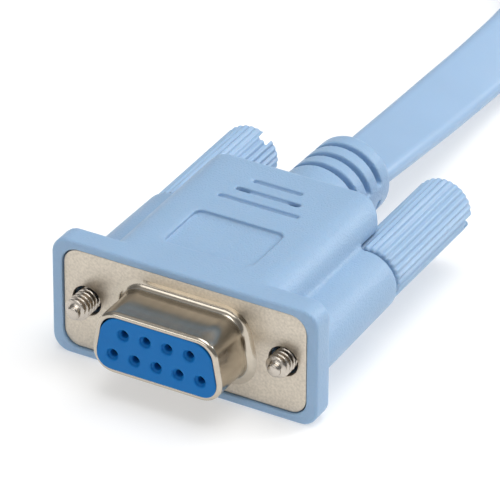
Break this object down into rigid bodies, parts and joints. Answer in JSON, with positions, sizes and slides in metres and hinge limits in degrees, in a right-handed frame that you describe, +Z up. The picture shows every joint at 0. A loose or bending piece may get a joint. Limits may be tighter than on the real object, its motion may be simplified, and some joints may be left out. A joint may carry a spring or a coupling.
{
  "type": "flat serial console cable",
  "caption": "Flat console cable: moulded hood with a D-sub socket, ribbed thumbscrews and slotted strain relief, and a clear modular plug at the far end of the wound cable.",
  "frame": {"origin": "middle of the connector's footprint on the floor it lies on", "axes": "+X across the connector, +Y back along the cable, +Z up; the D-sub socket faces -Y"},
  "size_m": [0.0745, 0.2211, 0.0148],
  "materials": {
    "moulded_blue": "matte, fine grain",
    "cable_blue": "satin",
    "insulator_blue": "satin",
    "nickel_steel": "nickel plated",
    "contact_gold": "gold plated",
    "clear_plastic": "clear polycarbonate",
    "tie_black": "matte"
  },
  "bodies": {
    "cable": {"hood": "moulded_blue", "connector_shell": "nickel_steel", "insulator": "insulator_blue", "socket_contact_1": "contact_gold", "socket_contact_2": "contact_gold", "socket_contact_3": "contact_gold", "socket_contact_4": "contact_gold", "socket_contact_5": "contact_gold", "socket_contact_6": "contact_gold", "socket_contact_7": "contact_gold", "socket_contact_8": "contact_gold", "socket_contact_9": "contact_gold", "flat_cable_lead": "cable_blue", "flat_cable_hank": "cable_blue", "flat_cable_tail": "cable_blue", "hank_tie_left": "tie_black", "hank_tie_right": "tie_black", "plug_body": "clear_plastic", "plug_contact_1": "contact_gold", "plug_contact_2": "contact_gold", "plug_contact_3": "contact_gold", "plug_contact_4": "contact_gold", "plug_contact_5": "contact_gold", "plug_contact_6": "contact_gold", "plug_contact_7": "contact_gold", "plug_contact_8": "contact_gold"},
    "left_thumbscrew": {"left_jackscrew": "nickel_steel", "left_knob": "moulded_blue"},
    "right_thumbscrew": {"right_jackscrew": "nickel_steel", "right_knob": "moulded_blue"}
  },
  "joints": [
    {"name": "left_thumbscrew_turn", "type": "hinge", "parent": "cable", "child": "left_thumbscrew", "pos_m": [-0.01249, 0.0032, 0.0074], "axis": [0, 1, 0], "continuous": true},
    {"name": "right_thumbscrew_turn", "type": "hinge", "parent": "cable", "child": "right_thumbscrew", "pos_m": [0.01249, 0.0032, 0.0074], "axis": [0, 1, 0], "continuous": true}
  ]
}
